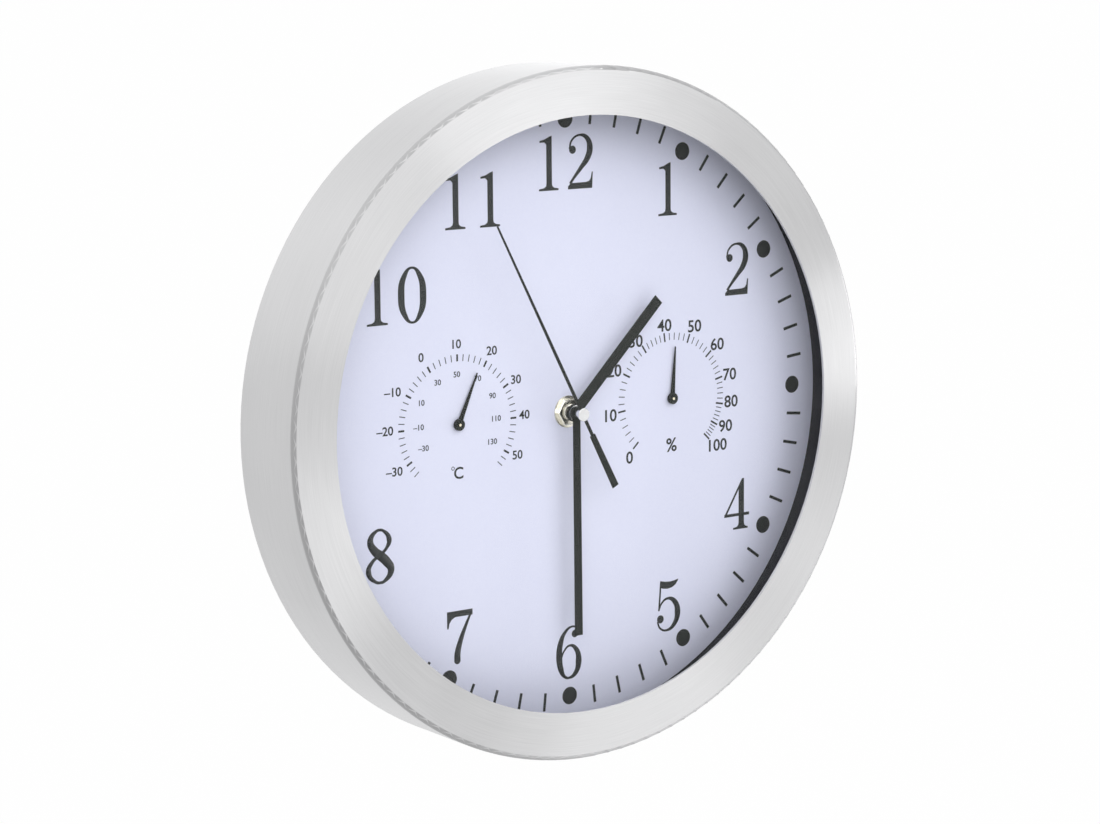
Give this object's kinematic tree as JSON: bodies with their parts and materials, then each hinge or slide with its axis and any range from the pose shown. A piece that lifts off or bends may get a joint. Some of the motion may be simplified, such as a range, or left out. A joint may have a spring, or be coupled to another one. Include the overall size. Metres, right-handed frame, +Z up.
{
  "type": "wall clock",
  "caption": "Round wall clock with a brushed metal case, a recessed white dial, three hands, and thermometer and hygrometer pointers let into the dial",
  "frame": {"origin": "the middle of the nail that the clock hangs on, in the plane of the wall", "axes": "+Z up, +X to the viewer's right, +Y into the wall; the dial faces -Y"},
  "size_m": [0.3, 0.0415, 0.3],
  "materials": {
    "brushed_aluminium": "spun and brushed aluminium, clear lacquered",
    "clear_glass": "clear flat float glass",
    "black_moulding": "black moulded ABS, fine matte texture",
    "zinc_steel": "bright zinc-plated steel",
    "dial_white": "white satin lacquer on sheet aluminium, printed in charcoal",
    "movement_plastic": "black moulded polystyrene",
    "turned_brass": "turned brass",
    "gasket_rubber": "black rubber sheet",
    "white_plastic": "natural acetal",
    "soft_iron": "punched soft magnetic sheet",
    "copper_wire": "fine enamelled copper winding",
    "board_green": "glass-fibre board with green solder mask",
    "chip_black": "black potting resin",
    "battery_jacket": "plain printed steel jacket",
    "hand_black": "black satin lacquer on sheet aluminium",
    "magnet_grey": "sintered magnet",
    "bimetal": "rolled bimetal strip",
    "humidity_strip": "rolled strip with a moisture-sensitive film"
  },
  "bodies": {
    "clock_case": {"case_ring": "brushed_aluminium", "front_glass": "clear_glass", "rear_pan": "black_moulding", "pan_rim": "black_moulding", "pan_screws": "zinc_steel", "hanger_box": "black_moulding", "hanger_screws": "zinc_steel", "dial_plate": "dial_white", "movement_housing": "movement_plastic", "movement_cover": "movement_plastic", "threaded_nose": "turned_brass", "movement_gasket": "gasket_rubber", "dial_washer": "zinc_steel", "hex_nut": "turned_brass", "bearing_plate": "white_plastic", "stator": "soft_iron", "coil_core": "soft_iron", "coil_bobbin": "white_plastic", "coil_winding": "copper_wire", "circuit_board": "board_green", "chip": "chip_black", "crystal": "zinc_steel", "battery": "battery_jacket", "contact_plus": "zinc_steel", "contact_minus": "zinc_steel", "thermometer_housing": "black_moulding", "thermometer_strip": "bimetal", "hygrometer_housing": "black_moulding", "hygrometer_strip": "humidity_strip", "gauge_screws": "zinc_steel"},
    "minute_train": {"centre_wheel": "white_plastic", "minute_hand": "hand_black"},
    "hour_train": {"hour_wheel": "white_plastic", "hour_hand": "hand_black"},
    "second_train": {"second_wheel": "white_plastic", "second_hand": "hand_black", "second_hub": "zinc_steel"},
    "third_train": {"third_wheel": "white_plastic"},
    "step_train": {"step_wheel": "white_plastic"},
    "rotor": {"rotor_arbor": "white_plastic", "rotor_magnet": "magnet_grey"},
    "motion_wheel": {"minute_wheel": "white_plastic"},
    "setting": {"setting_knob": "black_moulding"},
    "temperature_pointer": {"thermometer_pointer": "hand_black", "thermometer_arbor": "turned_brass"},
    "humidity_pointer": {"hygrometer_pointer": "hand_black", "hygrometer_arbor": "turned_brass"}
  },
  "joints": [
    {"name": "minute_turn", "type": "hinge", "parent": "clock_case", "child": "minute_train", "pos_m": [0, 0, -0.112], "axis": [0, 1, 0], "continuous": true},
    {"name": "hour_turn", "type": "hinge", "parent": "clock_case", "child": "hour_train", "pos_m": [0, 0, -0.112], "axis": [0, 1, 0], "continuous": true},
    {"name": "second_turn", "type": "hinge", "parent": "clock_case", "child": "second_train", "pos_m": [0, 0, -0.112], "axis": [0, 1, 0], "continuous": true},
    {"name": "third_wheel_turn", "type": "hinge", "parent": "clock_case", "child": "third_train", "pos_m": [-0.00883, 0, -0.1069], "axis": [0, 1, 0], "continuous": true},
    {"name": "step_wheel_turn", "type": "hinge", "parent": "clock_case", "child": "step_train", "pos_m": [0.0108, 0, -0.112], "axis": [0, 1, 0], "continuous": true},
    {"name": "rotor_turn", "type": "hinge", "parent": "clock_case", "child": "rotor", "pos_m": [0.0143, 0, -0.10594], "axis": [0, 1, 0], "continuous": true},
    {"name": "minute_wheel_turn", "type": "hinge", "parent": "clock_case", "child": "motion_wheel", "pos_m": [0, 0, -0.121], "axis": [0, 1, 0], "continuous": true},
    {"name": "setting_knob_turn", "type": "hinge", "parent": "clock_case", "child": "setting", "pos_m": [-0.00945, 0, -0.121], "axis": [0, 1, 0], "continuous": true},
    {"name": "temperature_turn", "type": "hinge", "parent": "clock_case", "child": "temperature_pointer", "pos_m": [-0.057, 0, -0.112], "axis": [0, 1, 0], "range_deg": [-156.2, 107.8]},
    {"name": "humidity_turn", "type": "hinge", "parent": "clock_case", "child": "humidity_pointer", "pos_m": [0.057, 0, -0.1117], "axis": [0, 1, 0], "range_deg": [-138.2, 129.8]}
  ],
  "couplings": [
    {"joint": "hour_turn", "follows": "minute_turn", "ratio": 0.083333},
    {"joint": "second_turn", "follows": "minute_turn", "ratio": 60},
    {"joint": "third_wheel_turn", "follows": "minute_turn", "ratio": -8},
    {"joint": "step_wheel_turn", "follows": "minute_turn", "ratio": -300},
    {"joint": "rotor_turn", "follows": "minute_turn", "ratio": 1800},
    {"joint": "minute_wheel_turn", "follows": "minute_turn", "ratio": -0.33333},
    {"joint": "setting_knob_turn", "follows": "minute_turn", "ratio": 0.83333}
  ]
}
